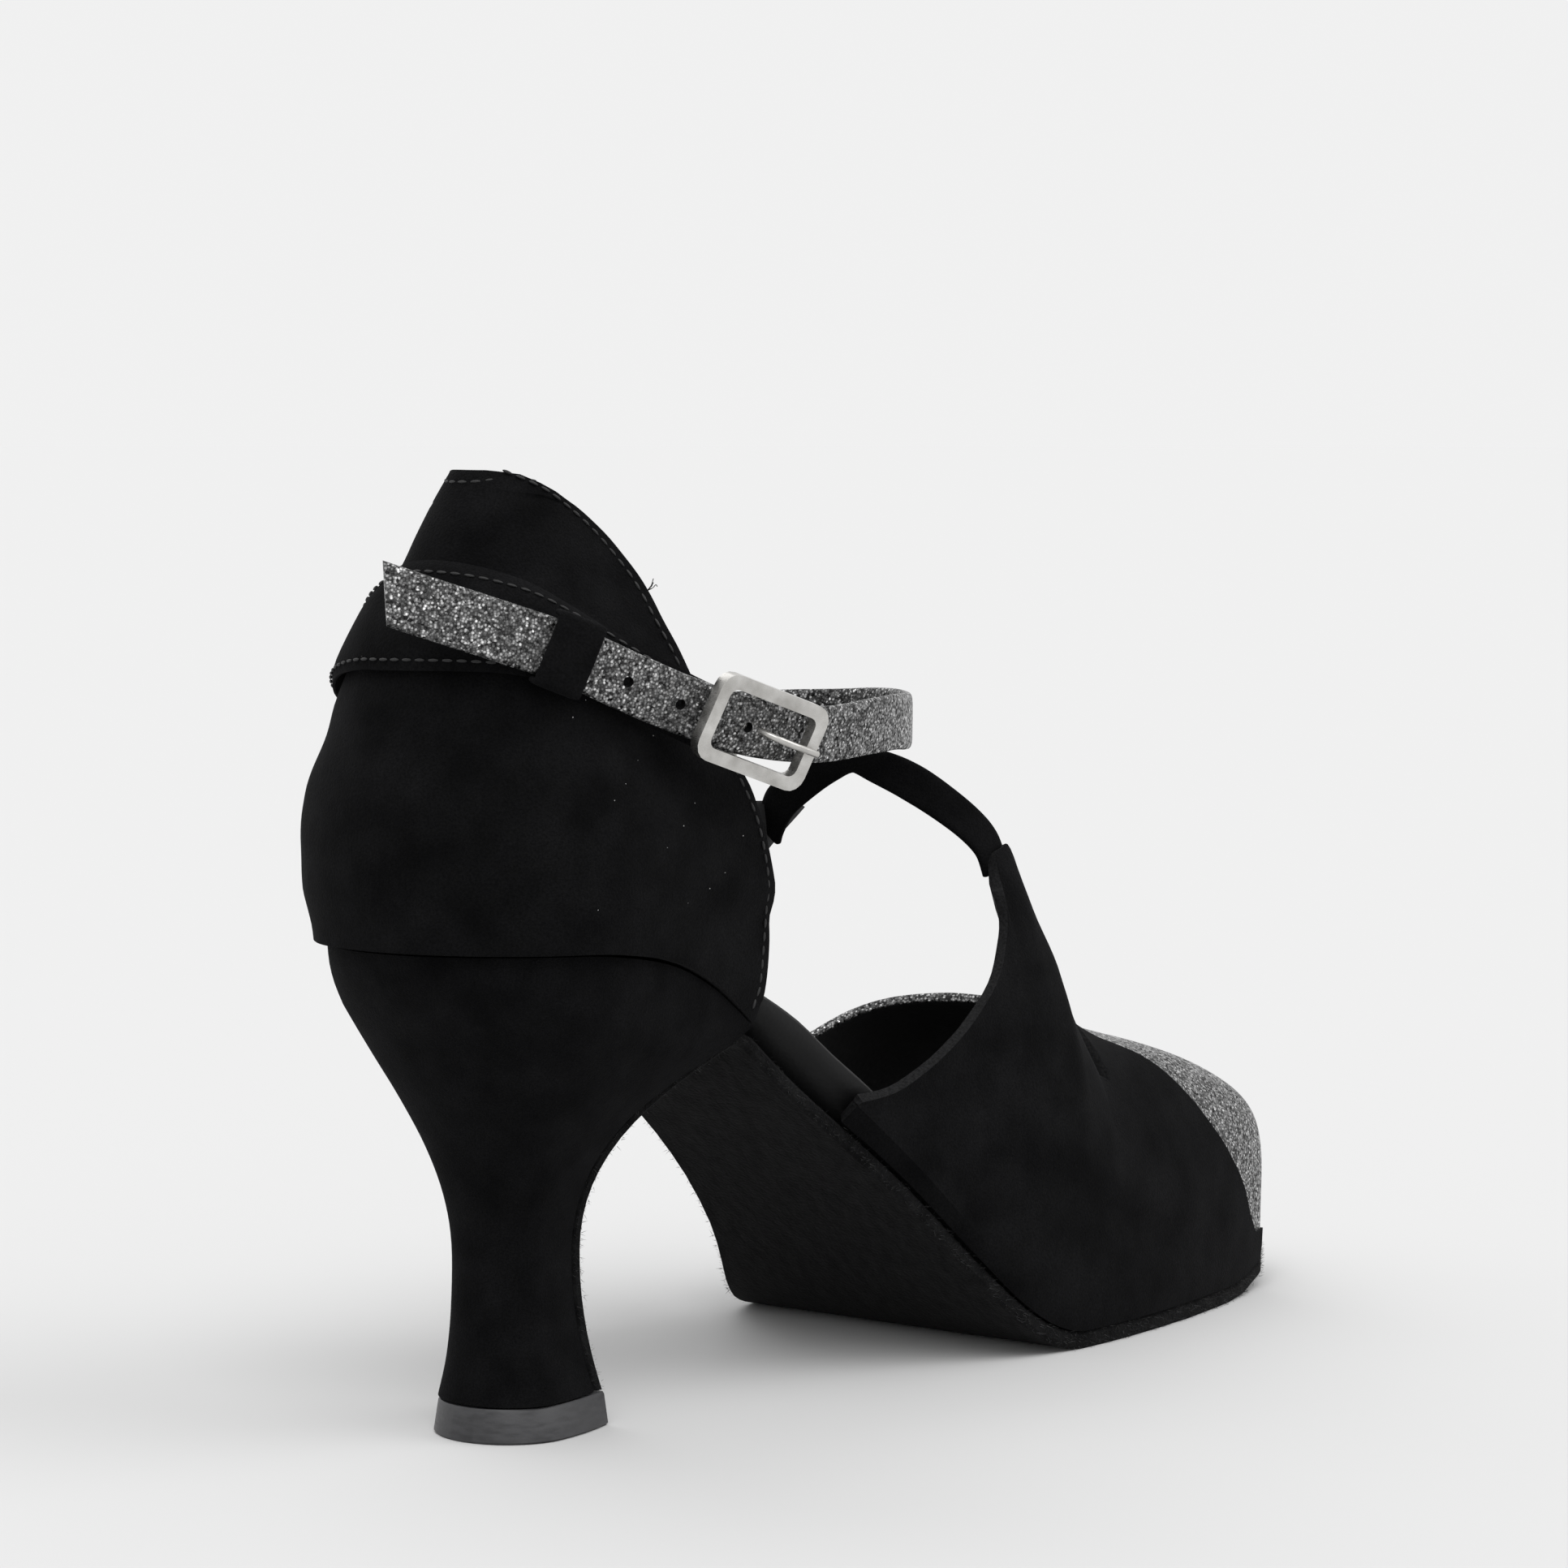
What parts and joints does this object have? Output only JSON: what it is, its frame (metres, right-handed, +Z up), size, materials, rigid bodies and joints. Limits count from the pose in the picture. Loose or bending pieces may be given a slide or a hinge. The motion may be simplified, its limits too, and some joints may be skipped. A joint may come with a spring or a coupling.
{
  "type": "dance shoe",
  "caption": "Right-foot Latin dance shoe: closed suede quarter, open toe and waist, glitter vamp and ankle strap with buckle, narrow instep strap, flared heel.",
  "frame": {"origin": "on the floor under the middle of the heel's top lift", "axes": "+X to the toe, +Y to the inner side of the foot, +Z up"},
  "size_m": [0.2418, 0.0834, 0.152],
  "materials": {
    "black_suede": "matt suede nap",
    "glitter_cloth": "dark grey cloth with fine silver glitter",
    "sole_suede": "rough suede sole with hairy cut edge",
    "grey_lining": "smooth lining leather",
    "lift_rubber": "satin hard rubber",
    "nickel": "brushed nickel"
  },
  "bodies": {
    "root": {"outsole": "sole_suede", "insole": "grey_lining", "heel": "black_suede", "top_lift": "lift_rubber", "upper": "black_suede", "heel_band": "black_suede", "ankle_strap": "glitter_cloth", "keeper_loop": "black_suede", "buckle_frame": "nickel", "buckle_prong": "nickel"}
  },
  "joints": []
}
